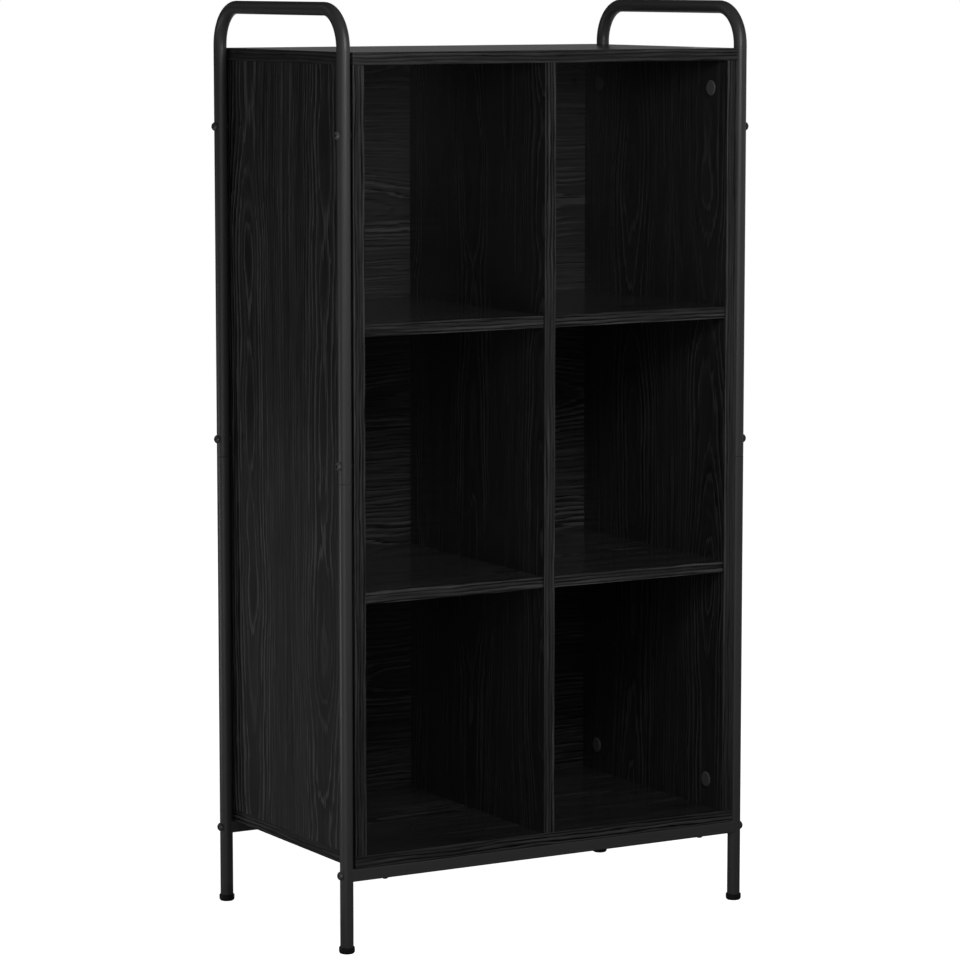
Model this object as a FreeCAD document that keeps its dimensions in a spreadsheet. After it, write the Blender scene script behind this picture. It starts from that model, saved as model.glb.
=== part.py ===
import FreeCAD, Part
import math
import os
import types

import Sketcher

# Open six-compartment bookcase: a knock-down board carcass hung between two bent-tube side frames.
# Millimetres, +X to the right, +Y to the back, +Z up, origin on the floor under the middle.

# Driving sizes
SIZES = {
    # Carcass of flat boards
    "carcass_width": 534,
    "carcass_depth": 332,
    "compartment_height": 300,
    "board_thickness": 15,
    "board_arris": 0.8,
    "shelf_recess": 3,
    "back_thickness": 3,
    "back_lap": 7,
    "back_gap": 0.5,
    # Round tube of the side frames
    "tube_dia": 16,
    "tube_wall": 1.2,
    "frame_gap": 0.2,
    "leg_inset": 8,
    "handle_rise": 49.5,
    "bend_radius": 46,
    "joint_drop": 21,
    "joint_bevel": 0.8,
    "spigot_length": 40,
    "spigot_fit": 0.15,
    "swage_length": 8,
    "upper_bolt_drop": 95.5,
    # Square tube of the crossbars
    "ground_clearance": 86.5,
    "bar_size": 15,
    "bar_wall": 1.2,
    "bar_corner": 1.6,
    "bar_fit": 0.1,
    "plug_setback": 3,
    "plug_length": 12,
    # Bolts of the frames, with the inserts that they turn into
    "bolt_dia": 6,
    "bolt_fit": 0.1,
    "bolt_tip_gap": 1,
    "bolt_head_dia": 10.5,
    "bolt_head_height": 3.2,
    "bolt_head_rim": 0.7,
    "bolt_crown_dia": 6.3,
    "bolt_dome_radius": 4.4,
    "bolt_socket": 3.6,
    "bolt_socket_depth": 1.8,
    "insert_dia": 9,
    "insert_skin": 2.5,
    # Screws that hold the bottom panel down on the crossbars
    "bar_screw_inset": 43.5,
    "bar_screw_dia": 4,
    "bar_screw_head_dia": 7.5,
    "bar_screw_head_height": 2.2,
    "bar_screw_skin": 4,
    # Feet
    "foot_dia": 19,
    "foot_base_dia": 15.5,
    "foot_height": 8,
    "foot_side_height": 2.8,
    "foot_side_radius": 3.4,
    "foot_shoulder": 1.2,
    "foot_stem": 14,
    "foot_fit": 0.1,
    # Cam fittings between the side panels and the top and bottom panels
    "cam_edge": 37,
    "cam_reach": 34,
    "cam_dia": 15,
    "cam_skin": 2.5,
    "cam_fit": 0.1,
    "cam_bolt_dia": 7,
    "cam_bolt_neck_dia": 4.4,
    "cam_bolt_neck": 8,
    "cam_bolt_head": 3,
    "cam_thread_dia": 5,
    "cam_thread_skin": 4,
    "cap_dia": 19,
    "cap_height": 1.2,
    "cap_stem_dia": 4,
    "cap_stem": 2.5,
    # Wooden dowels
    "dowel_dia": 8,
    "dowel_fit": 0.05,
    "dowel_depth": 20,
    "dowel_end_gap": 0.5,
    "dowel_skin": 5,
    "dowel_bevel": 1,
    "dowel_edge": 64,
    # Pan-head screws of the back boards
    "back_screw_dia": 3,
    "back_screw_length": 15,
    "back_screw_head_dia": 5.6,
    "back_screw_head_height": 1.3,
    "screw_fit": 0.05,
}

ROWS = 3
SCREWS_UP_A_BACK_BOARD = 2
LEFT, RIGHT = -1, 1
FRONT, REAR = -1, 1


class Size:
    """A length with its present value and the expression that ties it to the sheet of sizes."""

    def __init__(self, value, text):
        self.value = value
        self.text = text

    def __add__(self, other):
        other = as_size(other)
        return Size(self.value + other.value, f"({self.text} + {other.text})")

    def __sub__(self, other):
        other = as_size(other)
        return Size(self.value - other.value, f"({self.text} - {other.text})")

    def __mul__(self, factor):
        return Size(self.value * factor, f"({self.text} * {factor})")

    def __truediv__(self, factor):
        return Size(self.value / factor, f"({self.text} / {factor})")

    def __neg__(self):
        return self * -1

    __rmul__ = __mul__


def as_size(number):
    """Take a plain number as a size of its own."""
    if isinstance(number, Size):
        return number
    return Size(float(number), str(number))


doc = FreeCAD.newDocument("bookcase")
sheet = doc.addObject("Spreadsheet::Sheet", "Sizes")
for row, (name, value) in enumerate(SIZES.items(), start=1):
    sheet.set(f"A{row}", name)
    sheet.set(f"B{row}", str(value))
    sheet.setAlias(f"B{row}", name)
doc.recompute()
S = types.SimpleNamespace(**{name: Size(float(getattr(sheet, name)), f"Sizes.{name}") for name in SIZES})

# Places that several pieces share
ZERO = as_size(0)
board = S.board_thickness
half_width = S.carcass_width / 2
half_depth = S.carcass_depth / 2
panel_height = ROWS * S.compartment_height + (ROWS - 1) * board
inner_depth = S.carcass_depth - S.back_thickness
carcass_bottom = S.ground_clearance + S.bar_size
panel_bottom = carcass_bottom + board
panel_top = panel_bottom + panel_height
carcass_top = panel_top + board
shelf_length = (S.carcass_width - 3 * board) / 2
shelf_pitch = S.compartment_height + board

tube_radius = S.tube_dia / 2
bore_radius = tube_radius - S.tube_wall
leg_x = half_width + S.frame_gap + tube_radius
leg_y = half_depth - S.leg_inset
handle_axis = carcass_top + S.handle_rise
mid_bolt = panel_bottom + panel_height / 2
upper_bolt = carcass_top - S.upper_bolt_drop
joint = mid_bolt - S.joint_drop
bar_axis = S.ground_clearance + S.bar_size / 2
bolt_hole = S.bolt_dia + 2 * S.bolt_fit
dowel_hole = S.dowel_dia + 2 * S.dowel_fit
dowel_rows = (S.dowel_edge, inner_depth - S.dowel_edge)
cam_rows = (S.cam_edge, S.carcass_depth - S.cam_edge)
leg_rows = (S.leg_inset, S.carcass_depth - S.leg_inset)
dowel_face_depth = board - S.dowel_skin
back_screw_hole = S.back_screw_dia + 2 * S.screw_fit
back_screw_bite = S.back_screw_length - S.back_thickness
back_width = S.carcass_width - 2 * board + 2 * S.back_lap - 2 * S.back_gap


def back_span(index):
    """Lowest and highest level of a back board: boards meet behind the middle of a shelf."""
    low = panel_bottom - S.back_lap + S.back_gap
    high = panel_top + S.back_lap - S.back_gap
    if index > 0:
        low = panel_bottom + shelf_pitch * index - board / 2 + S.back_gap / 2
    if index < ROWS - 1:
        high = panel_bottom + shelf_pitch * (index + 1) - board / 2 - S.back_gap / 2
    return low, high


def back_screw_levels(index):
    """Levels of the screws in one back board, spread evenly up its height."""
    low, high = back_span(index)
    step = (high - low) / (2 * SCREWS_UP_A_BACK_BOARD)
    return [low + step * (2 * k + 1) for k in range(SCREWS_UP_A_BACK_BOARD)]


all_back_screw_levels = [level for index in range(ROWS) for level in back_screw_levels(index)]


# Sketches and features
def set_place(thing, x, y, z, rotation=None):
    """Put a body or link at a point given by sizes, turned by a fixed rotation."""
    if rotation is not None:
        thing.Placement = FreeCAD.Placement(FreeCAD.Vector(), rotation)
    for axis, size in zip("xyz", (x, y, z)):
        thing.setExpression(f"Placement.Base.{axis}", as_size(size).text)


def new_body(label, x=ZERO, y=ZERO, z=ZERO):
    body = doc.addObject("PartDesign::Body", label)
    body.Label = label
    set_place(body, x, y, z)
    return body


def new_sketch(body, name, role, offset=None):
    """Start a sketch on one of the body's own origin planes, or parallel to it."""
    sketch = body.newObject("Sketcher::SketchObject", name)
    plane = next(feature for feature in body.Origin.OriginFeatures if feature.Role == role)
    sketch.AttachmentSupport = [(plane, "")]
    sketch.MapMode = "FlatFace"
    if offset is not None:
        sketch.setExpression("AttachmentOffset.Base.z", offset.text)
    return sketch


def pin(sketch, geometry, point, x, y):
    """Hold one point of a sketch at x and y from the sketch's origin."""
    for kind, axis, size in (("DistanceX", -2, as_size(x)), ("DistanceY", -1, as_size(y))):
        if size.text == "0":
            sketch.addConstraint(Sketcher.Constraint("PointOnObject", geometry, point, axis))
        else:
            rule = Sketcher.Constraint(kind, -1, 1, geometry, point, size.value)
            bind_constraint(sketch, rule, size)


def bind_constraint(sketch, rule, size):
    index = sketch.addConstraint(rule)
    sketch.setExpression(f"Constraints[{index}]", size.text)


def arc_between(start, end, radius, turn):
    """Arc of under a half circle from start to end, turning left (1) or right (-1)."""
    chord = end - start
    rise = math.sqrt(radius ** 2 - (chord.Length / 2) ** 2)
    across = FreeCAD.Vector(-chord.y, chord.x, 0).normalize()
    centre = (start + end) / 2 + across * rise * turn
    middle = centre - across * radius * turn
    return Part.Arc(start, middle, end)


def outline(sketch, corners, closed=True):
    """Draw straight and round edges through corners (x, y) or (x, y, radius, turn).

    A corner that carries a radius starts an arc, and any other starts a straight edge.
    """
    points = [FreeCAD.Vector(as_size(c[0]).value, as_size(c[1]).value, 0) for c in corners]
    count = len(corners) if closed else len(corners) - 1
    ends = []
    for k in range(count):
        start, end = points[k], points[(k + 1) % len(points)]
        if len(corners[k]) == 2:
            edge = sketch.addGeometry(Part.LineSegment(start, end), False)
            ends.append((edge, 1, 2))
            continue
        radius, turn = corners[k][2:]
        edge = sketch.addGeometry(arc_between(start, end, radius.value, turn), False)
        bind_constraint(sketch, Sketcher.Constraint("Radius", edge, radius.value), radius)
        ends.append((edge, 1, 2) if turn > 0 else (edge, 2, 1))
    for k, (edge, first, last) in enumerate(ends):
        pin(sketch, edge, first, corners[k][0], corners[k][1])
        if closed or k < count - 1:
            following, following_first, _ = ends[(k + 1) % count]
            sketch.addConstraint(Sketcher.Constraint("Coincident", edge, last, following, following_first))
        else:
            pin(sketch, edge, last, corners[k + 1][0], corners[k + 1][1])


def rectangle(sketch, left, low, right, high):
    outline(sketch, [(left, low), (right, low), (right, high), (left, high)])


def circle(sketch, x, y, diameter):
    centre = FreeCAD.Vector(as_size(x).value, as_size(y).value, 0)
    ring = Part.Circle(centre, FreeCAD.Vector(0, 0, 1), diameter.value / 2)
    edge = sketch.addGeometry(ring, False)
    pin(sketch, edge, 3, x, y)
    bind_constraint(sketch, Sketcher.Constraint("Diameter", edge, diameter.value), diameter)


def pad(body, sketch, length, backwards=False):
    feature = body.newObject("PartDesign::Pad", sketch.Name + "_pad")
    feature.Profile = sketch
    feature.setExpression("Length", length.text)
    feature.Reversed = backwards
    return feature


def ease_edges(body, blank, picked):
    """Round the banded edges of a board's blank: those for which picked is true."""
    doc.recompute()
    names = [f"Edge{k}" for k, edge in enumerate(blank.Shape.Edges, start=1) if picked(edge)]
    feature = body.newObject("PartDesign::Fillet", blank.Name + "_arris")
    feature.Base = (blank, names)
    feature.setExpression("Radius", S.board_arris.text)


def any_edge(edge):
    return True


def front_edge(edge):
    """True for a blank's long edges on its front, where its own y is 0."""
    return edge.BoundBox.YMax < S.board_arris.value and edge.Length > board.value


def upright_outer_edge(edge):
    """True for a side panel's upright edges in sight: both on its front, and the outer one at the back."""
    on_outer_face = edge.BoundBox.XMax < S.board_arris.value
    return front_edge(edge) or on_outer_face and edge.BoundBox.ZLength > board.value


def pocket(body, sketch, depth, backwards=False):
    """Cut a sketch into the body, against the sketch's normal unless backwards."""
    feature = body.newObject("PartDesign::Pocket", sketch.Name + "_pocket")
    feature.Profile = sketch
    feature.setExpression("Length", depth.text)
    feature.Reversed = backwards


def drill(body, name, role, offset, centres, diameter, depth, backwards=False):
    """Drill one size of hole at several centres."""
    sketch = new_sketch(body, name, role, offset)
    for x, y in centres:
        circle(sketch, x, y, diameter)
    pocket(body, sketch, depth, backwards)


def turned(body, name, corners):
    """Revolve a half profile of radius and height about the body's own upright axis."""
    sketch = new_sketch(body, name, "XZ_Plane")
    outline(sketch, corners)
    feature = body.newObject("PartDesign::Revolution", name + "_turn")
    feature.Profile = sketch
    feature.ReferenceAxis = (sketch, ["V_Axis"])
    feature.Angle = 360


def group(label, master, places):
    """Repeat a master piece at several places (x, y, z, rotation) as one group of separate solids."""
    copies = []
    for k, (x, y, z, rotation) in enumerate(places):
        link = doc.addObject("App::Link", f"{label}_{k + 1}")
        link.LinkedObject = master
        set_place(link, x, y, z, rotation)
        copies.append(link)
    compound = doc.addObject("Part::Compound", label)
    compound.Label = label
    compound.Links = copies
    sub_parts[label] = (compound, len(copies))


sub_parts = {}


def keep(body):
    """List a single-solid sub-part for writing."""
    sub_parts[body.Label] = (body, 1)


UPRIGHT = FreeCAD.Rotation()
UPSIDE_DOWN = FreeCAD.Rotation(FreeCAD.Vector(1, 0, 0), 180)
FACING_BACK = FreeCAD.Rotation(FreeCAD.Vector(1, 0, 0), -90)
# Pointing inwards from either side of the bookcase
INWARD = {side: FreeCAD.Rotation(FreeCAD.Vector(0, 1, 0), -90 * side) for side in (LEFT, RIGHT)}


# Carcass boards
def make_end_panel(label, level, inner_face, inner_is_below):
    """Top or bottom panel: full width and depth, worked on the face that looks into the carcass."""
    body = new_body(label, -half_width, -half_depth, level)
    blank = new_sketch(body, label + "_blank", "XY_Plane")
    rectangle(blank, 0, 0, S.carcass_width, S.carcass_depth)
    ease_edges(body, pad(body, blank, board), any_edge)

    # Stopped rebate for the back boards along the rear edge
    side = board - S.back_lap
    rebate = new_sketch(body, label + "_rebate", "XY_Plane", inner_face)
    rectangle(rebate, side, inner_depth, S.carcass_width - side, S.carcass_depth)
    pocket(body, rebate, S.back_lap, inner_is_below)

    ends = (board / 2, S.carcass_width - board / 2)
    cam_holes = [(x, y) for x in ends for y in cam_rows]
    thread_hole = S.cam_thread_dia + 2 * S.cam_fit
    drill(body, label + "_cam_holes", "XY_Plane", inner_face, cam_holes, thread_hole,
          board - S.cam_thread_skin, inner_is_below)
    dowel_holes = [(x, half_depth) for x in ends] + [(half_width, y) for y in dowel_rows]
    drill(body, label + "_dowel_holes", "XY_Plane", inner_face, dowel_holes, dowel_hole,
          dowel_face_depth, inner_is_below)
    return body


def make_top_panel():
    keep(make_end_panel("top_panel", panel_top, ZERO, True))


def make_bottom_panel():
    body = make_end_panel("bottom_panel", carcass_bottom, board, False)
    columns = (S.bar_screw_inset, S.carcass_width - S.bar_screw_inset)
    holes = [(x, y) for x in columns for y in leg_rows]
    drill(body, "bottom_panel_screw_holes", "XY_Plane", ZERO, holes, S.bar_screw_dia + 2 * S.screw_fit,
          board - S.bar_screw_skin, True)
    keep(body)


def drill_shelf_dowels(body, name, face, depth):
    """Row of dowel holes at the middle of each shelf's edge, in a face that looks along X."""
    levels = [shelf_pitch * k - board / 2 for k in range(1, ROWS)]
    drill(body, name, "YZ_Plane", face, [(y, z) for y in dowel_rows for z in levels], dowel_hole, depth)


def drill_back_screws(body, name, x):
    """Pilot holes for the back boards' screws, in the face that the boards lie on."""
    levels = [level - panel_bottom for level in all_back_screw_levels]
    drill(body, name, "XZ_Plane", -inner_depth, [(x, z) for z in levels], back_screw_hole,
          back_screw_bite, True)


def make_side_panels():
    """Left side panel between the end panels, rebated for the back, and its mirror image."""
    body = new_body("left_side_panel", -half_width, -half_depth, panel_bottom)
    blank = new_sketch(body, "side_blank", "XY_Plane")
    step = board - S.back_lap
    outline(blank, [(0, 0), (board, 0), (board, inner_depth), (step, inner_depth),
                    (step, S.carcass_depth), (0, S.carcass_depth)])
    ease_edges(body, pad(body, blank, panel_height), upright_outer_edge)

    cam_levels = (S.cam_reach, panel_height - S.cam_reach)
    drill(body, "side_cam_pockets", "YZ_Plane", board, [(y, z) for y in cam_rows for z in cam_levels],
          S.cam_dia + 2 * S.cam_fit, board - S.cam_skin)
    for name, face, upward in (("low", ZERO, True), ("high", panel_height, False)):
        drill(body, f"side_cam_bores_{name}", "XY_Plane", face, [(board / 2, y) for y in cam_rows],
              S.cam_bolt_dia + 2 * S.cam_fit, S.cam_reach, upward)
        drill(body, f"side_dowel_bore_{name}", "XY_Plane", face, [(board / 2, half_depth)],
              dowel_hole, S.dowel_depth, upward)
    drill_shelf_dowels(body, "side_shelf_dowels", board, dowel_face_depth)
    insert_levels = (mid_bolt - panel_bottom, upper_bolt - panel_bottom)
    drill(body, "side_insert_holes", "YZ_Plane", ZERO, [(y, z) for y in leg_rows for z in insert_levels],
          S.insert_dia + 2 * S.screw_fit, board - S.insert_skin, True)
    drill_back_screws(body, "side_back_screws", board - S.back_lap / 2)
    keep(body)

    mirror = doc.addObject("Part::Mirroring", "right_side_panel")
    mirror.Label = "right_side_panel"
    mirror.Source = body
    mirror.Normal = FreeCAD.Vector(1, 0, 0)
    keep(mirror)


def make_centre_divider():
    body = new_body("centre_divider", -board / 2, -half_depth, panel_bottom)
    blank = new_sketch(body, "divider_blank", "XY_Plane")
    rectangle(blank, 0, 0, board, inner_depth)
    ease_edges(body, pad(body, blank, panel_height), front_edge)
    for name, face, upward in (("low", ZERO, True), ("high", panel_height, False)):
        drill(body, f"divider_dowel_bores_{name}", "XY_Plane", face, [(board / 2, y) for y in dowel_rows],
              dowel_hole, S.dowel_depth, upward)
    drill_shelf_dowels(body, "divider_shelf_dowels", board, board)
    drill_back_screws(body, "divider_back_screws", board / 2)
    keep(body)


def make_shelf(label, x, level):
    """Loose-cut shelf board, set back from the front and doweled at both ends."""
    body = new_body(label, x, S.shelf_recess - half_depth, level)
    blank = new_sketch(body, label + "_blank", "XY_Plane")
    rectangle(blank, 0, 0, shelf_length, inner_depth - S.shelf_recess)
    ease_edges(body, pad(body, blank, board), front_edge)
    bores = [(y - S.shelf_recess, board / 2) for y in dowel_rows]
    drill(body, label + "_left_bores", "YZ_Plane", ZERO, bores, dowel_hole, S.dowel_depth, True)
    drill(body, label + "_right_bores", "YZ_Plane", shelf_length, bores, dowel_hole, S.dowel_depth)
    keep(body)


def make_shelves():
    columns = {"left": board - half_width, "right": board / 2}
    for row, height in enumerate(("lower", "upper"), start=1):
        for side, x in columns.items():
            make_shelf(f"{height}_{side}_shelf", x, panel_bottom + shelf_pitch * row - board)


def make_back_board(label, index):
    """Thin board let into the rebates, screwed to the side panels and the divider."""
    low, high = back_span(index)
    body = new_body(label, -back_width / 2, inner_depth - half_depth, low)
    blank = new_sketch(body, label + "_blank", "XZ_Plane")
    rectangle(blank, 0, 0, back_width, high - low)
    pad(body, blank, S.back_thickness, True)
    margin = S.back_lap / 2 - S.back_gap
    columns = (margin, back_width / 2, back_width - margin)
    holes = [(x, level - low) for x in columns for level in back_screw_levels(index)]
    drill(body, label + "_screw_holes", "XZ_Plane", ZERO, holes, back_screw_hole, S.back_thickness)
    keep(body)


# Side frames
def make_upper_frame(label, side):
    """Inverted U of round tube: two uprights and the handle across the top in one bent length."""
    body = new_body(label, leg_x * side, -leg_y, joint)
    spread = 2 * leg_y
    rise = handle_axis - joint
    radius = S.bend_radius
    path = new_sketch(body, label + "_path", "YZ_Plane")
    outline(path, [(0, 0), (0, rise - radius, radius, -1),
                   (radius, rise), (spread - radius, rise, radius, -1),
                   (spread, rise - radius), (spread, 0)], closed=False)
    section = new_sketch(body, label + "_section", "XY_Plane")
    circle(section, 0, 0, S.tube_dia)
    circle(section, 0, 0, 2 * bore_radius)
    doc.recompute()
    pipe = body.newObject("PartDesign::AdditivePipe", label + "_pipe")
    pipe.Profile = section
    pipe.Spine = (path, [f"Edge{k + 1}" for k in range(path.GeometryCount)])
    holes = [(y, z - joint) for y in (ZERO, spread) for z in (mid_bolt, upper_bolt)]
    drill(body, label + "_bolt_holes", "YZ_Plane", tube_radius, holes, bolt_hole, S.tube_dia)
    keep(body)


def make_leg(label, side, end):
    """Lower leg: the same tube, swaged at the top to a spigot that slides into the upper frame."""
    body = new_body(label, leg_x * side, leg_y * end, ZERO)
    spigot_radius = bore_radius - S.spigot_fit
    spigot_bore = spigot_radius - S.tube_wall
    spigot_top = joint + S.spigot_length
    turned(body, label + "_wall", [
        (bore_radius, S.foot_height),
        (tube_radius, S.foot_height),
        (tube_radius, joint - S.joint_bevel),
        (tube_radius - S.joint_bevel, joint),
        (spigot_radius, joint),
        (spigot_radius, spigot_top),
        (spigot_bore, spigot_top),
        (spigot_bore, joint),
        (bore_radius, joint - S.swage_length),
    ])
    drill(body, label + "_bolt_holes", "YZ_Plane", tube_radius, [(0, bar_axis), (0, mid_bolt)], bolt_hole,
          S.tube_dia)
    keep(body)


def make_foot(label, side, end):
    """Moulded end cap: a rounded pad with a stem pressed up into the leg."""
    body = new_body(label, leg_x * side, leg_y * end, ZERO)
    pad_radius = S.foot_dia / 2
    base_radius = S.foot_base_dia / 2
    stem_radius = bore_radius - S.foot_fit
    stem_top = S.foot_height + S.foot_stem
    turned(body, label + "_profile", [
        (0, 0),
        (base_radius, 0, S.foot_side_radius, 1),
        (pad_radius, S.foot_side_height),
        (pad_radius, S.foot_height - S.foot_shoulder, S.foot_shoulder, 1),
        (pad_radius - S.foot_shoulder, S.foot_height),
        (stem_radius, S.foot_height),
        (stem_radius, stem_top - S.foot_shoulder),
        (stem_radius - S.foot_shoulder, stem_top),
        (0, stem_top),
    ])
    keep(body)


def make_crossbar(label, end):
    """Square tube under the bottom panel, coped at both ends to sit round the legs."""
    length = 2 * leg_x
    size = S.bar_size
    corner = S.bar_corner
    body = new_body(label, -leg_x, leg_y * end - size / 2, S.ground_clearance)
    section = new_sketch(body, label + "_section", "YZ_Plane")
    outline(section, [
        (corner, 0), (size - corner, 0, corner, 1),
        (size, corner), (size, size - corner, corner, 1),
        (size - corner, size), (corner, size, corner, 1),
        (0, size - corner), (0, corner, corner, 1),
    ])
    rectangle(section, S.bar_wall, S.bar_wall, size - S.bar_wall, size - S.bar_wall)
    pad(body, section, length)
    drill(body, label + "_copes", "XY_Plane", size, [(0, size / 2), (length, size / 2)],
          S.tube_dia + 2 * S.bar_fit, size)
    inset = leg_x - half_width + S.bar_screw_inset
    drill(body, label + "_screw_holes", "XY_Plane", size, [(inset, size / 2), (length - inset, size / 2)],
          S.bar_screw_dia + 2 * S.screw_fit, size)
    keep(body)


# Fasteners
def bolt_profile(length):
    """Button-head bolt from the flat of its head at height 0 to its tip."""
    head_radius = S.bolt_head_dia / 2
    rim = S.bolt_head_height - S.bolt_head_rim
    tip = S.bolt_head_height + length
    return [
        (0, 0), (S.bolt_crown_dia / 2, 0, S.bolt_dome_radius, 1), (head_radius, rim),
        (head_radius, S.bolt_head_height),
        (S.bolt_dia / 2, S.bolt_head_height), (S.bolt_dia / 2, tip), (0, tip),
    ]


def make_bolt(label, length):
    """Bolt with a hexagon socket in its head."""
    body = new_body(label + "_master")
    turned(body, label + "_profile", bolt_profile(length))
    socket = new_sketch(body, label + "_socket", "XY_Plane")
    flat = S.bolt_socket
    reach = flat / math.sqrt(3)
    slant = reach / 2
    hexagon = [(reach, 0), (slant, flat / 2), (-slant, flat / 2), (-reach, 0), (-slant, -flat / 2),
               (slant, -flat / 2)]
    outline(socket, hexagon)
    pocket(body, socket, S.bolt_socket_depth, True)
    return body


def make_frame_bolts():
    """Bolts through the upper frames into inserts in the side panels."""
    grip = S.tube_dia + S.frame_gap + board - S.insert_skin - S.bolt_tip_gap
    head = leg_x + tube_radius + S.bolt_head_height
    places = [(head * side, leg_y * end, level, INWARD[side])
              for side in (LEFT, RIGHT) for end in (FRONT, REAR) for level in (mid_bolt, upper_bolt)]
    group("frame_bolts", make_bolt("frame_bolt", grip), places)


def make_crossbar_bolts():
    """Bolts through the legs into the plugs in the ends of the crossbars."""
    grip = S.tube_dia + S.plug_setback + S.plug_length - S.bolt_tip_gap
    head = leg_x + tube_radius + S.bolt_head_height
    places = [(head * side, leg_y * end, bar_axis, INWARD[side])
              for side in (LEFT, RIGHT) for end in (FRONT, REAR)]
    group("crossbar_bolts", make_bolt("crossbar_bolt", grip), places)


def make_panel_inserts():
    """Threaded sleeves sunk in the outer faces of the side panels."""
    body = new_body("panel_insert_master")
    bore = bolt_hole / 2
    length = board - S.insert_skin
    turned(body, "panel_insert_profile", [(bore, 0), (S.insert_dia / 2, 0), (S.insert_dia / 2, length),
                                          (bore, length)])
    places = [(half_width * side, leg_y * end, level, INWARD[side])
              for side in (LEFT, RIGHT) for end in (FRONT, REAR) for level in (mid_bolt, upper_bolt)]
    group("panel_inserts", body, places)


def make_crossbar_plugs():
    """Threaded square plugs fixed inside the crossbar ends."""
    width = S.bar_size - 2 * S.bar_wall - 2 * S.bar_fit
    body = new_body("crossbar_plug_master")
    section = new_sketch(body, "crossbar_plug_section", "XY_Plane")
    rectangle(section, 0, 0, width, width)
    circle(section, width / 2, width / 2, bolt_hole)
    pad(body, section, S.plug_length)
    start = leg_x - tube_radius - S.plug_setback
    places = []
    for side in (LEFT, RIGHT):
        for end in (FRONT, REAR):
            places.append((start * side, leg_y * end - width / 2, bar_axis - width / 2 * side, INWARD[side]))
    group("crossbar_plugs", body, places)


def screw_profile(shank_dia, length, head_dia, head_height):
    """Pan-head screw from its tip at height 0 up to its slightly domed head."""
    shank = shank_dia / 2
    head = head_dia / 2
    edge = head_height / 2
    return [(0, 0), (shank / 2, 0), (shank, shank), (shank, length), (head, length),
            (head, length + edge), (head - edge, length + head_height), (0, length + head_height)]


def make_crossbar_screws():
    """Screws up through the crossbars into the bottom panel."""
    body = new_body("crossbar_screw_master")
    length = S.bar_size + board - S.bar_screw_skin - S.bolt_tip_gap
    turned(body, "crossbar_screw_profile",
           screw_profile(S.bar_screw_dia, length, S.bar_screw_head_dia, S.bar_screw_head_height))
    x = half_width - S.bar_screw_inset
    places = [(x * side, leg_y * end, S.ground_clearance + length, UPSIDE_DOWN)
              for side in (LEFT, RIGHT) for end in (FRONT, REAR)]
    group("crossbar_screws", body, places)


def make_back_screws():
    body = new_body("back_screw_master")
    length = S.back_screw_length - S.bolt_tip_gap
    turned(body, "back_screw_profile",
           screw_profile(S.back_screw_dia, length, S.back_screw_head_dia, S.back_screw_head_height))
    tip = half_depth - length
    edge = half_width - board + S.back_lap / 2
    places = [(x, tip, level, FACING_BACK) for x in (-edge, ZERO, edge) for level in all_back_screw_levels]
    group("back_board_screws", body, places)


def make_cams():
    """Cam locks in the inner faces of the side panels, each with a socket for its bolt's head."""
    body = new_body("cam_lock_master")
    depth = board - S.cam_skin
    radius = S.cam_dia / 2
    turned(body, "cam_lock_blank", [(0, 0), (radius, 0), (radius, depth), (0, depth)])
    level = board / 2
    drill(body, "cam_lock_bore", "YZ_Plane", ZERO, [(0, level)], S.cam_bolt_dia, radius)
    drill(body, "cam_lock_recess", "XY_Plane", ZERO, [(0, 0)], S.cap_stem_dia + 2 * S.cam_fit,
          S.cap_stem + S.cam_fit, True)
    return body


def make_cam_fittings():
    """Cam locks, their bolts and their cover caps at the corners of the side panels."""
    cam = make_cams()
    bolt = new_body("cam_bolt_master")
    thread = board - S.cam_thread_skin - S.dowel_end_gap
    neck = S.cam_bolt_neck_dia / 2
    shank = S.cam_bolt_dia / 2
    thread_radius = S.cam_thread_dia / 2
    reach = thread + S.cam_reach
    turned(bolt, "cam_bolt_profile", [
        (0, 0), (thread_radius, 0), (thread_radius, thread), (shank, thread),
        (shank, reach - S.cam_bolt_neck), (neck, reach - S.cam_bolt_neck),
        (neck, reach - S.cam_bolt_head), (shank - S.cam_fit, reach - S.cam_bolt_head),
        (shank - S.cam_fit, reach), (0, reach),
    ])
    cap = new_body("cam_cap_master")
    cap_radius = S.cap_dia / 2
    stem_radius = S.cap_stem_dia / 2
    top = S.cap_stem + S.cap_height
    turned(cap, "cam_cap_profile", [
        (0, 0), (stem_radius, 0), (stem_radius, S.cap_stem), (cap_radius, S.cap_stem),
        (cap_radius, top - S.cap_height / 2), (cap_radius - S.cap_height, top), (0, top),
    ])

    inner_face = half_width - board
    bolt_x = half_width - board / 2
    cams, bolts, caps = [], [], []
    outward = {side: INWARD[-side] for side in (LEFT, RIGHT)}
    for side in (LEFT, RIGHT):
        for row in cam_rows:
            y = row - half_depth
            for at_top in (False, True):
                level = panel_top - S.cam_reach if at_top else panel_bottom + S.cam_reach
                start = panel_top + thread if at_top else panel_bottom - thread
                spin = 180 if at_top == (side == LEFT) else 0
                turn = FreeCAD.Rotation(FreeCAD.Vector(0, 0, 1), spin)
                cams.append((inner_face * side, y, level, outward[side].multiply(turn)))
                bolts.append((bolt_x * side, y, start, UPSIDE_DOWN if at_top else UPRIGHT))
                caps.append(((inner_face + S.cap_stem) * side, y, level, INWARD[side]))
    group("cam_locks", cam, cams)
    group("cam_bolts", bolt, bolts)
    group("cam_cover_caps", cap, caps)


def make_dowel(label, length):
    """Beech dowel with bevelled ends."""
    body = new_body(label + "_master")
    radius = S.dowel_dia / 2
    bevel = S.dowel_bevel
    turned(body, label + "_profile", [(0, 0), (radius - bevel, 0), (radius, bevel), (radius, length - bevel),
                                      (radius - bevel, length), (0, length)])
    return body


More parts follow.
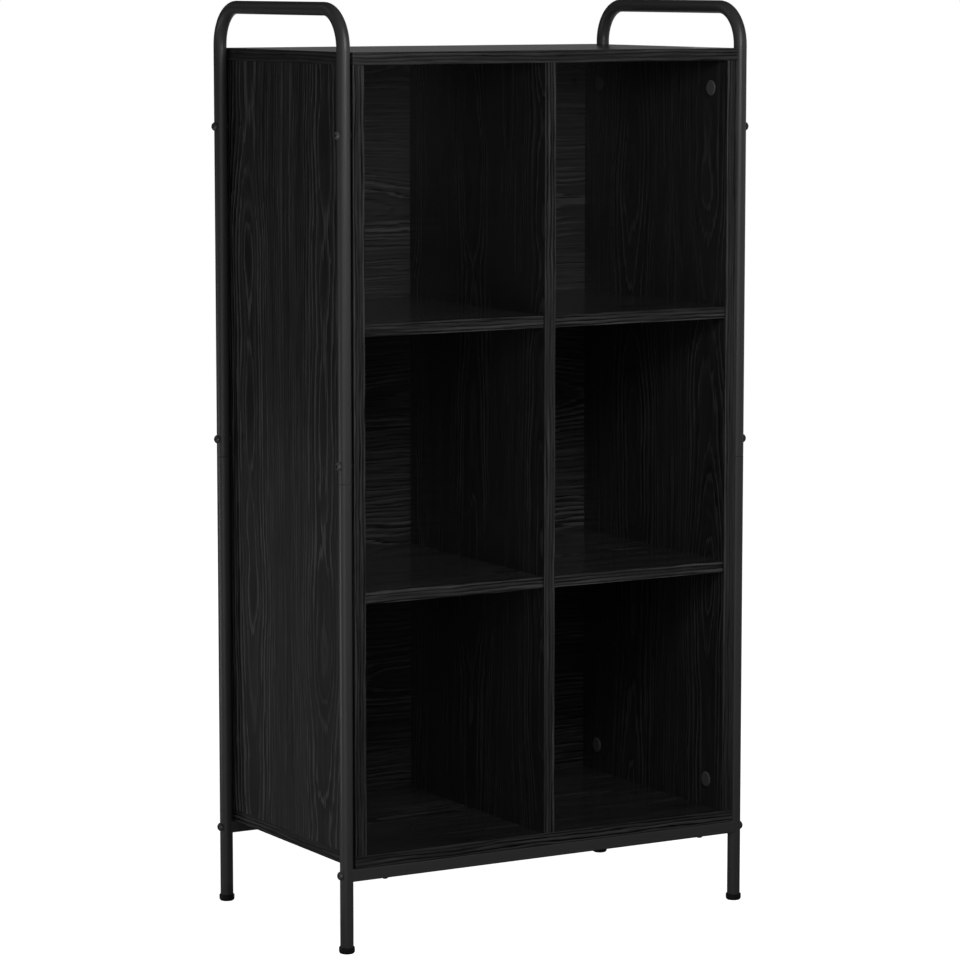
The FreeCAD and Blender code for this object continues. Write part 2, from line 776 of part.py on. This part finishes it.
def make_dowels():
    gap = S.dowel_end_gap
    joint_dowel = make_dowel("joint_dowel", dowel_face_depth + S.dowel_depth - 2 * gap)
    low_start = panel_bottom - dowel_face_depth + gap
    high_start = panel_top - S.dowel_depth + gap
    columns = [((half_width - board / 2) * side, ZERO) for side in (LEFT, RIGHT)]
    columns += [(ZERO, row - half_depth) for row in dowel_rows]
    group("panel_dowels", joint_dowel,
          [(x, y, z, UPRIGHT) for x, y in columns for z in (low_start, high_start)])

    levels = [panel_bottom + shelf_pitch * row - board / 2 for row in range(1, ROWS)]
    outer_start = half_width - board + dowel_face_depth - gap
    group("shelf_dowels", joint_dowel,
          [(outer_start * side, row - half_depth, z, INWARD[side])
           for side in (LEFT, RIGHT) for row in dowel_rows for z in levels])

    through = board + 2 * S.dowel_depth - 2 * gap
    group("divider_dowels", make_dowel("through_dowel", through),
          [(-through / 2, row - half_depth, z, INWARD[LEFT]) for row in dowel_rows for z in levels])


make_top_panel()
make_bottom_panel()
make_side_panels()
make_centre_divider()
make_shelves()
for index, name in enumerate(("lower", "middle", "upper")):
    make_back_board(f"{name}_back_board", index)
for side_name, side in (("left", LEFT), ("right", RIGHT)):
    make_upper_frame(f"{side_name}_upper_frame", side)
    for end_name, end in (("front", FRONT), ("rear", REAR)):
        make_leg(f"{end_name}_{side_name}_leg", side, end)
        make_foot(f"{end_name}_{side_name}_foot", side, end)
for end_name, end in (("front", FRONT), ("rear", REAR)):
    make_crossbar(f"{end_name}_crossbar", end)
make_frame_bolts()
make_crossbar_bolts()
make_panel_inserts()
make_crossbar_plugs()
make_crossbar_screws()
make_back_screws()
make_cam_fittings()
make_dowels()
doc.recompute()

for thing in doc.Objects:
    if {"Invalid", "Error"} & set(thing.State):
        raise RuntimeError(f"{thing.Label} failed to build: {thing.State}")
for label, (thing, solids) in sub_parts.items():
    shape = thing.Shape
    if shape.isNull() or not shape.isValid() or len(shape.Solids) != solids:
        raise RuntimeError(f"{label} has a bad shape")
os.makedirs("parts", exist_ok=True)
for label, (thing, _) in sub_parts.items():
    thing.Shape.exportStep(f"parts/{label}.step")
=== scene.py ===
"""Looks of the bookcase: black oak boards between satin black tube frames, in soft studio light."""

import math
from collections import namedtuple

import bpy
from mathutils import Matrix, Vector

MM = 0.001
AXES = "XYZ"
WHITE = (1, 1, 1, 1)

# The axes along a board's grain, across it and through its thickness. Then its figure: where
# a heart line lies (mm, across), how far apart the heart lines are (mm), how strong the figure
# is, how light the faces are, how strong the lines of the edge band are, and a seed. How light
# the faces are is partly the board's own tone and partly painted light, as on the back boards.
Board = namedtuple("Board", "along across through heart column strength gain edge_strength seed")
BOARDS = {
    "top_panel": Board("X", "Y", "Z", -60, 190, 0.6, 1.3, 0.65, 1.7),
    "bottom_panel": Board("X", "Y", "Z", 10, 240, 0.85, 1.25, 1.1, 8.3),
    "left_side_panel": Board("Z", "Y", "X", 100, 194, 1.2, 1.2, 1.2, 23.9),
    "right_side_panel": Board("Z", "Y", "X", 43, 170, 0.45, 1.4, 0.85, 58.3),
    "centre_divider": Board("Z", "Y", "X", 8, 168, 0.42, 1.5, 1.0, 21.3),
    "lower_left_shelf": Board("X", "Y", "Z", 70, 180, 0.8, 1.25, 1.5, 11.2),
    "lower_right_shelf": Board("X", "Y", "Z", -20, 195, 0.8, 1.25, 1.5, 12.6),
    "upper_left_shelf": Board("X", "Y", "Z", 15, 175, 0.8, 1.25, 1.5, 13.3),
    "upper_right_shelf": Board("X", "Y", "Z", 90, 188, 0.8, 1.25, 1.5, 14.8),
    # Painted light: the back boards are painted lighter the higher they sit, standing in for the
    # light that reaches the upper compartments more, and their figure is painted stronger lower
    # down, standing in for the grazing light that lifts the embossed grain there.
    "lower_back_board": Board("X", "Z", "Y", 260, 200, 0.9, 1.2, 0.9, 6.2),
    "middle_back_board": Board("X", "Z", "Y", 610, 190, 0.7, 1.35, 0.9, 7.5),
    "upper_back_board": Board("X", "Z", "Y", 860, 195, 0.5, 1.5, 0.9, 9.4),
}

# How light the edge bands are, and how much the faces and the edge bands shine.
EDGE_GAIN = 1.4
FACE_SHINE = 0.4
EDGE_SHINE = 0.2
# A polygon whose normal is this close to the thickness axis belongs to a face.
FACE_LIMIT = 0.9

# How far apart the rings lie at the heart. They lie half as far apart at half of the second
# length from it.
RING_PITCH = 8 * MM
RING_CROWDING = 250 * MM
# How far apart the lines of the edge band lie.
BAND_PITCH = 4.4 * MM
# The profile of a ring, as shares of the distance between two rings.
LINE_RISE = (0.02, 0.16)
LINE_FALL = (0.34, 0.85)
GROOVE_FALL = (0.1, 0.5)
# What is left of the faintest ring, and of a ring where it fades along the grain.
FAINTEST_RING = 0.25
FAINTEST_FADE = 0.35
# A ring that cuts the face at less than this slope is drawn broader than the others.
LEAST_SLOPE = 0.4
# How bold the rings are at the heart line and away from it.
BOLD_AT_HEART = 1.8
BOLD_AWAY = 0.8
# The tone that a board has without figure, and the linear greys at both ends of the tones.
PLAIN_TONE = 0.29
DARKEST = 0.0015
LIGHTEST = 0.042
# How deep the embossed grain is.
GRAIN_DEPTH = 0.025 * MM
# How fast the pores and the streaks change along the grain, across it and through it, per metre.
PORE_RATES = (30.0, 750.0, 750.0)
STREAK_RATES = (14.0, 260.0, 260.0)

POWDER_COATED = (
    "left_upper_frame",
    "right_upper_frame",
    "front_left_leg",
    "front_right_leg",
    "rear_left_leg",
    "rear_right_leg",
    "front_crossbar",
    "rear_crossbar",
)
FEET = ("front_left_foot", "front_right_foot", "rear_left_foot", "rear_right_foot")
BLACK_BOLTS = ("frame_bolts", "crossbar_bolts", "crossbar_screws", "back_board_screws")
BLACK_INSERTS = ("panel_inserts",)
ZINC_PIECES = ("crossbar_plugs", "cam_locks", "cam_bolts")
BEECH_DOWELS = ("panel_dowels", "shelf_dowels", "divider_dowels")
CAPS = ("cam_cover_caps",)

# The lamps, soft rectangles: place and target (m), width and height (m), and power (W).
Lamp = namedtuple("Lamp", "place target width height power")
MIDDLE = (0, 0, 0.58)
LAMPS = {
    "near_front": Lamp((-0.1, -1.1, 1.25), MIDDLE, 0.3, 0.3, 6.0),
    "high_front": Lamp((0, -3.28, 2.87), MIDDLE, 1.0, 1.0, 23),
    "eye_level": Lamp((-1.06, -1.84, 1.15), MIDDLE, 0.8, 0.8, 3.8),
    "front": Lamp((-0.55, -2.05, 1.15), MIDDLE, 0.8, 0.8, 2.0),
    "low_front": Lamp((-1.54, -1.54, 0.27), MIDDLE, 0.8, 0.8, 3.3),
    "low_right": Lamp((1.09, -1.89, 0.27), MIDDLE, 0.8, 0.8, 0.6),
    "low_left": Lamp((-2.06, -1.19, 0.25), MIDDLE, 0.9, 0.6, 1.9),
    "left": Lamp((-2.18, 1.02, 0.25), MIDDLE, 0.9, 0.6, 5.0),
    "low_side": Lamp((-1.26, 0.34, 0.15), MIDDLE, 0.6, 0.3, 1.3),
    "floor_left": Lamp((-1.7, 2.2, 0.02), (-1.7, 2.2, 1.0), 3.0, 4.6, 2.8),
    "floor_front": Lamp((-1.05, -0.8, 0.02), (-1.05, -0.8, 1.0), 1.3, 1.5, 1.6),
    "right_front": Lamp((2.42, -1.69, 1.1), MIDDLE, 1.0, 1.0, 3.5),
    "floor_right": Lamp((1.5, 1.7, 0.02), (1.5, 1.7, 1.0), 3.0, 3.0, 9.0),
    "right": Lamp((2.59, 1.49, 0.84), MIDDLE, 2.4, 1.6, 3),
    "side_right": Lamp((3.2, 0.2, 0.55), MIDDLE, 2.6, 2.0, 5.0),
    "side_back": Lamp((0.9, 3.2, 0.47), MIDDLE, 2.4, 0.9, 2.4),
    "back": Lamp((1.49, 2.59, 0.84), MIDDLE, 2.4, 1.6, 1.2),
    "high_back_left": Lamp((-2.1, 2.1, 2.45), MIDDLE, 1.8, 1.8, 4.0),
}
# How much light the room itself gives, and how far the floor reaches from the middle (m).
ROOM_LIGHT = 0.05
FLOOR_REACH = 40.0

# The camera repeats the photograph's view: its place (m), its turn to the right of the
# bookcase's own depth direction and its tilt below the horizon (degrees), its lens and its
# sensor (mm), and how far it sees (m).
CAMERA_PLACE = (-2.4633, -4.2160, 1.1525)
CAMERA_YAW = 30.293
CAMERA_TILT = 7.265
LENS = 149.24
SENSOR_WIDTH = 36
FAR_LIMIT = 200


class Graph:
    """A shader node tree, with short calls for the nodes that the materials share."""

    def __init__(self, tree):
        self.tree = tree
        tree.nodes.clear()

    def node(self, kind, values=None, **settings):
        """Adds a node, sets its properties, and links or sets its inputs."""
        made = self.tree.nodes.new(kind)
        for name, value in settings.items():
            setattr(made, name, value)
        for name, value in (values or {}).items():
            self.feed(made.inputs[name], value)
        return made

    def feed(self, socket, value):
        """Links an input to another node's output, or sets it to a constant."""
        if isinstance(value, bpy.types.NodeSocket):
            self.tree.links.new(value, socket)
        else:
            socket.default_value = value

    def math(self, operation, *values):
        """One step of arithmetic."""
        inputs = dict(enumerate(values))
        return self.node("ShaderNodeMath", inputs, operation=operation).outputs[0]

    def scaled(self, value, factor, offset=0.0):
        """A value times a factor, plus an offset."""
        return self.math("MULTIPLY_ADD", value, factor, offset)

    def vector(self, x, y, z=0.0):
        """Three values as one vector."""
        return self.node("ShaderNodeCombineXYZ", {"X": x, "Y": y, "Z": z}).outputs[0]

    def place(self):
        """The object coordinates, in metres."""
        return self.node("ShaderNodeTexCoord").outputs["Object"]

    def noise(self, vector, scale=1.0, detail=2.0, roughness=0.5):
        """Smooth noise from 0 to 1."""
        values = {"Vector": vector, "Scale": scale, "Detail": detail, "Roughness": roughness}
        return self.node("ShaderNodeTexNoise", values).outputs[0]

    def stretched(self, values, rates):
        """The values, each multiplied by a rate of its own."""
        return [self.scaled(value, rate) for value, rate in zip(values, rates)]

    def stretched_noise(self, first, second, rates, seed, detail):
        """Noise that changes at one rate with the first value and at another with the second."""
        return self.noise(self.vector(*self.stretched((first, second), rates), seed), detail=detail)

    def step(self, value, low, high, start=0.0, end=1.0):
        """A smooth step from start to end while value goes from low to high."""
        values = {
            "Value": value,
            "From Min": low,
            "From Max": high,
            "To Min": start,
            "To Max": end,
        }
        made = self.node("ShaderNodeMapRange", values, interpolation_type="SMOOTHSTEP")
        return made.outputs[0]

    def mix(self, share, first, second):
        """A colour between first and second."""
        made = self.node("ShaderNodeMix", data_type="RGBA")
        share_socket, first_socket, second_socket = made.inputs[0], made.inputs[6], made.inputs[7]
        self.feed(share_socket, share)
        self.feed(first_socket, first)
        self.feed(second_socket, second)
        return made.outputs[2]

    def bump(self, height, distance, strength=1.0):
        """A normal that follows the height."""
        values = {"Height": height, "Distance": distance, "Strength": strength}
        return self.node("ShaderNodeBump", values).outputs[0]

    def surface(self, **values):
        """The one shader of a material, with its output."""
        named = {}
        for name, value in values.items():
            named[name.replace("_", " ").title().replace("Ior", "IOR")] = value
        shader = self.node("ShaderNodeBsdfPrincipled", named)
        self.node("ShaderNodeOutputMaterial", {"Surface": shader.outputs[0]})


def grey(value):
    """A neutral linear colour."""
    return (value, value, value, 1)


def new_material(name):
    """A material and its empty node tree."""
    material = bpy.data.materials.new(name)
    material.use_nodes = True
    return material, Graph(material.node_tree)


def object_axes(graph):
    """The three object coordinates, in metres, by axis letter."""
    split = graph.node("ShaderNodeSeparateXYZ", {0: graph.place()})
    return {axis: split.outputs[axis] for axis in AXES}


def ring_lines(graph, ring, slope, boldness, along, seed):
    """Light lines with dark grooves beside them, as wide where rings lie far apart as where close.

    Each ring has a strength of its own that comes and goes along the grain, and groups of rings
    are lighter or darker than others.
    """
    phase = graph.math("FRACT", ring)
    before = graph.math("DIVIDE", graph.scaled(phase, -1.0, 1.0), slope)
    after = graph.math("DIVIDE", phase, slope)
    number = graph.math("FLOOR", ring)
    drawn = graph.node("ShaderNodeTexWhiteNoise", {"W": number}, noise_dimensions="1D")
    fade = graph.stretched_noise(along, ring, (12.0, 1.1), seed, 2.0)
    drawn = graph.scaled(drawn.outputs["Value"], 1 - FAINTEST_RING, FAINTEST_RING)
    strength = graph.math("MULTIPLY", drawn, graph.step(fade, 0.3, 0.6, FAINTEST_FADE, 1.0))
    strength = graph.math("MULTIPLY", strength, boldness)
    rise = graph.step(before, *LINE_RISE)
    fall = graph.step(before, *LINE_FALL, 1.0, 0.0)
    line = graph.math("MULTIPLY", graph.math("MULTIPLY", rise, fall), strength)
    groove = graph.math("MULTIPLY", graph.step(after, *GROOVE_FALL, 1.0, 0.0), strength)
    bands = graph.stretched_noise(ring, along, (1.3, 3.0), seed + 4.4, 3.0)
    return line, groove, bands


def cathedral_figure(graph, along, across, column, seed):
    """The rings of flat-sawn oak: nested tongues along each heart line, finer lines between."""
    slow = graph.stretched_noise(along, across, (1.4, 5.0), seed, 1.0)
    fine = graph.stretched_noise(along, across, (12.0, 45.0), seed + 3.1, 3.0)
    sway = graph.scaled(slow, 30 * MM, -15 * MM)
    quiver = graph.scaled(fine, 8 * MM, -4 * MM)
    bent = graph.math("ADD", graph.math("ADD", across, sway), quiver)
    from_heart = graph.math("PINGPONG", bent, column / 2)

    depth_noise = graph.stretched_noise(along, across, (3.0, 3.0), seed + 7.7, 2.0)
    depth = graph.scaled(depth_noise, 90 * MM, -18 * MM)
    across_square = graph.math("POWER", from_heart, 2.0)
    depth_square = graph.math("POWER", depth, 2.0)
    radius = graph.math("SQRT", graph.math("ADD", across_square, depth_square))

    uneven = graph.noise(graph.vector(graph.scaled(radius, 55.0), seed, 0.0), detail=1.0)
    fibre = graph.stretched_noise(along, across, (16.0, 420.0), seed + 9.2, 2.0)
    spread = graph.math("ADD", radius, graph.scaled(uneven, 16 * MM))
    spread = graph.math("ADD", spread, graph.scaled(fibre, 5 * MM))
    slope = graph.math("MAXIMUM", graph.math("DIVIDE", from_heart, radius), LEAST_SLOPE)
    boldness = graph.step(from_heart, 20 * MM, 70 * MM, BOLD_AT_HEART, BOLD_AWAY)
    evenly = graph.scaled(spread, 1 / RING_PITCH)
    crowding = graph.scaled(spread, 1 / RING_CROWDING, 1.0)
    return graph.math("MULTIPLY", evenly, crowding), slope, boldness


def band_figure(graph, along, through, seed):
    """The straight, slightly wandering lines of a strip of edge band."""
    wander = graph.stretched_noise(along, through, (9.0, 60.0), seed, 3.0)
    fibre = graph.stretched_noise(along, through, (22.0, 420.0), seed + 9.2, 2.0)
    bent = graph.math("ADD", through, graph.scaled(wander, 8 * MM))
    bent = graph.math("ADD", bent, graph.scaled(fibre, 3 * MM))
    slope = 1.0
    boldness = 1.0
    return graph.scaled(bent, 1 / BAND_PITCH), slope, boldness


def oak_surface(graph, figure, along, across, through, seed, gain, strength, shine):
    """Black oak melamine: light ring lines, dark grooves and short embossed pores."""
    line, groove, bands = ring_lines(graph, *figure, along, seed + 2.2)
    patches = graph.stretched_noise(along, across, (5.0, 22.0), seed + 1.3, 3.0)
    presence = graph.step(patches, 0.3, 0.55, 0.3, 1.0)
    axes = (along, across, through)
    pore_place = graph.vector(*graph.stretched(axes, PORE_RATES))
    streak_place = graph.vector(*graph.stretched(axes, STREAK_RATES))
    pores = graph.step(graph.noise(pore_place, detail=2.0, roughness=0.6), 0.52, 0.68)
    streaks = graph.noise(streak_place, detail=3.0)
    light = graph.math("MULTIPLY", line, presence)
    dark = graph.math("MULTIPLY", groove, presence)

    relative = graph.math("ADD", graph.scaled(bands, 0.7), graph.scaled(streaks, 0.5, -0.7))
    relative = graph.math("ADD", relative, graph.scaled(light, 0.7))
    relative = graph.math("SUBTRACT", relative, graph.scaled(dark, 0.16))
    relative = graph.math("SUBTRACT", relative, graph.scaled(pores, 0.12))
    tone = graph.scaled(relative, strength, PLAIN_TONE)
    tone = graph.node("ShaderNodeClamp", {0: tone}).outputs[0]
    # Painted light: the greys are scaled by the board's lightness, so on the back boards this
    # colour holds painted light, lighter towards the top.
    colour = graph.mix(tone, grey(DARKEST * gain), grey(LIGHTEST * gain))
    roughness = graph.scaled(tone, -0.05, 0.2)

    relief = graph.math("SUBTRACT", graph.scaled(light, 0.8), graph.scaled(pores, 0.4))
    relief = graph.math("SUBTRACT", relief, graph.scaled(dark, 0.5))
    normal = graph.bump(relief, GRAIN_DEPTH, 0.9)
    graph.surface(base_color=colour, roughness=roughness, normal=normal, specular_ior_level=shine)


def face_material(node, board):
    """The printed faces of a board."""
    material, graph = new_material("oak_face_" + node)
    axes = object_axes(graph)
    along, across, through = axes[board.along], axes[board.across], axes[board.through]
    from_line = graph.math("SUBTRACT", across, board.heart * MM)
    figure = cathedral_figure(graph, along, from_line, board.column * MM, board.seed)
    oak_surface(
        graph, figure, along, across, through, board.seed, board.gain, board.strength, FACE_SHINE
    )
    return material


def edge_material(node, board):
    """The edge band of a board, which runs along the long edges and on along the ends."""
    material, graph = new_material("oak_edge_" + node)
    axes = object_axes(graph)
    run = graph.math("ADD", axes[board.along], axes[board.across])
    through = axes[board.through]
    figure = band_figure(graph, run, through, board.seed)
    seed = board.seed + 5.0
    oak_surface(
        graph, figure, run, through, through, seed, EDGE_GAIN, board.edge_strength, EDGE_SHINE
    )
    return material


def dress_board(frame, node, board):
    """Gives a board's faces and edges their materials."""
    data = frame["nodes"][node].data
    data.materials.clear()
    data.materials.append(face_material(node, board))
    data.materials.append(edge_material(node, board))
    normal_axis = AXES.index(board.through)
    for polygon in data.polygons:
        polygon.material_index = 0 if abs(polygon.normal[normal_axis]) > FACE_LIMIT else 1


def powder_coat():
    """Satin black powder coat: a fine orange peel over an even colour."""
    material, graph = new_material("black_powder_coat")
    place = graph.place()
    peel = graph.noise(place, scale=900.0)
    cloud = graph.noise(place, scale=14.0, detail=3.0)
    colour = graph.mix(cloud, grey(0.03), grey(0.036))
    rough = graph.scaled(peel, 0.1, 0.34)
    normal = graph.bump(peel, 0.05 * MM, 0.6)
    graph.surface(base_color=colour, roughness=rough, normal=normal, specular_ior_level=0.3)
    return material


def moulded_plastic(name, low, high, roughness, shine):
    """Moulded plastic with a fine spark-eroded grain."""
    material, graph = new_material(name)
    place = graph.place()
    grain = graph.noise(place, scale=2200.0)
    cloud = graph.noise(place, scale=60.0)
    colour = graph.mix(cloud, grey(low), grey(high))
    rough = graph.scaled(grain, 0.12, roughness - 0.06)
    normal = graph.bump(grain, 0.03 * MM, 0.5)
    graph.surface(base_color=colour, roughness=rough, normal=normal, specular_ior_level=shine)
    return material


def metal(name, low, high, roughness, metallic):
    """Plated or blackened metal with faint machining marks."""
    material, graph = new_material(name)
    place = graph.place()
    marks = graph.noise(place, scale=1500.0, detail=3.0)
    cloud = graph.noise(place, scale=120.0, detail=3.0)
    colour = graph.mix(cloud, grey(low), grey(high))
    rough = graph.scaled(cloud, 0.16, roughness - 0.08)
    normal = graph.bump(marks, 0.02 * MM, 0.4)
    graph.surface(base_color=colour, roughness=rough, normal=normal, metallic=metallic)
    return material


def beech():
    """Pale beech with short flecks."""
    material, graph = new_material("beech")
    flecks = graph.noise(graph.place(), scale=700.0, detail=3.0)
    colour = graph.mix(flecks, (0.42, 0.25, 0.13, 1), (0.58, 0.40, 0.24, 1))
    rough = graph.scaled(flecks, 0.15, 0.55)
    normal = graph.bump(flecks, 0.05 * MM, 0.4)
    graph.surface(base_color=colour, roughness=rough, normal=normal)
    return material


def dress(frame, nodes, material):
    """Gives several pieces the same material."""
    for node in nodes:
        data = frame["nodes"][node].data
        data.materials.clear()
        data.materials.append(material)


def dress_all(frame):
    """Gives every piece its material."""
    for node, board in BOARDS.items():
        dress_board(frame, node, board)
    powder = powder_coat()
    foot = moulded_plastic("foot_plastic", low=0.004, high=0.006, roughness=0.55, shine=0.2)
    cap = moulded_plastic("cap_plastic", low=0.06, high=0.07, roughness=0.2, shine=0.4)
    bolt = metal("black_bolt", low=0.045, high=0.055, roughness=0.19, metallic=0.0)
    insert = metal("black_insert", low=0.02, high=0.03, roughness=0.5, metallic=0.0)
    zinc = metal("zinc_hardware", low=0.45, high=0.6, roughness=0.35, metallic=1.0)
    dowel = beech()
    dress(frame, POWDER_COATED, powder)
    dress(frame, FEET, foot)
    dress(frame, CAPS, cap)
    dress(frame, BLACK_BOLTS, bolt)
    dress(frame, BLACK_INSERTS, insert)
    dress(frame, ZINC_PIECES, zinc)
    dress(frame, BEECH_DOWELS, dowel)


def add_floor():
    """A plain white floor, far wider than the view, that gives the object no light."""
    near, far = -FLOOR_REACH, FLOOR_REACH
    data = bpy.data.meshes.new("floor")
    corners = [(near, near, 0), (far, near, 0), (far, far, 0), (near, far, 0)]
    data.from_pydata(corners, [], [(0, 1, 2, 3)])
    floor = bpy.data.objects.new("floor", data)
    bpy.context.scene.collection.objects.link(floor)
    floor.visible_diffuse = False
    floor.visible_glossy = False
    material, graph = new_material("floor_white")
    graph.surface(
        base_color=grey(0.5), roughness=0.9, emission_color=WHITE, emission_strength=1.0
    )
    data.materials.append(material)


def add_world():
    """A white backdrop behind the object, and a dim even room light on it."""
    world = bpy.data.worlds.new("studio")
    bpy.context.scene.world = world
    world.use_nodes = True
    graph = Graph(world.node_tree)
    backdrop = graph.node("ShaderNodeBackground", {"Color": WHITE, "Strength": 1.0})
    room = graph.node("ShaderNodeBackground", {"Color": WHITE, "Strength": ROOM_LIGHT})
    seen = graph.node("ShaderNodeLightPath").outputs["Is Camera Ray"]
    shares = {0: seen, 1: room.outputs[0], 2: backdrop.outputs[0]}
    both = graph.node("ShaderNodeMixShader", shares)
    graph.node("ShaderNodeOutputWorld", {"Surface": both.outputs[0]})


def add_softbox(name, facts):
    """A rectangular softbox that faces its target and that the camera does not see."""
    data = bpy.data.lights.new(name, "AREA")
    data.shape = "RECTANGLE"
    data.size = facts.width
    data.size_y = facts.height
    data.energy = facts.power
    softbox = bpy.data.objects.new(name, data)
    bpy.context.scene.collection.objects.link(softbox)
    softbox.location = facts.place
    toward = [end - start for end, start in zip(facts.target, facts.place)]
    softbox.rotation_euler = Vector(toward).to_track_quat("-Z", "Y").to_euler()
    softbox.visible_camera = False


def add_camera():
    """The photograph's view."""
    data = bpy.data.cameras.new("camera")
    data.lens = LENS
    data.sensor_width = SENSOR_WIDTH
    data.clip_end = FAR_LIMIT
    camera = bpy.data.objects.new("camera", data)
    bpy.context.scene.collection.objects.link(camera)
    camera.location = CAMERA_PLACE
    camera.rotation_euler = (math.radians(90 - CAMERA_TILT), 0, math.radians(-CAMERA_YAW))
    bpy.context.scene.camera = camera


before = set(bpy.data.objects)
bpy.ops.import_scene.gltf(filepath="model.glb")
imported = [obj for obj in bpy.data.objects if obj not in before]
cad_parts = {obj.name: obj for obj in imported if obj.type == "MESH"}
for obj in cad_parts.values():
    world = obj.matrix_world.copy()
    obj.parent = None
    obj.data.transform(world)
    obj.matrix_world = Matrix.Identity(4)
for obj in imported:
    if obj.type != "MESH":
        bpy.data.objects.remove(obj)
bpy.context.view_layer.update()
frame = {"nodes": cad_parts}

dress_all(frame)
add_floor()
add_world()
for name, facts in LAMPS.items():
    add_softbox(name, facts)
add_camera()
bpy.context.scene.view_settings.view_transform = "Standard"
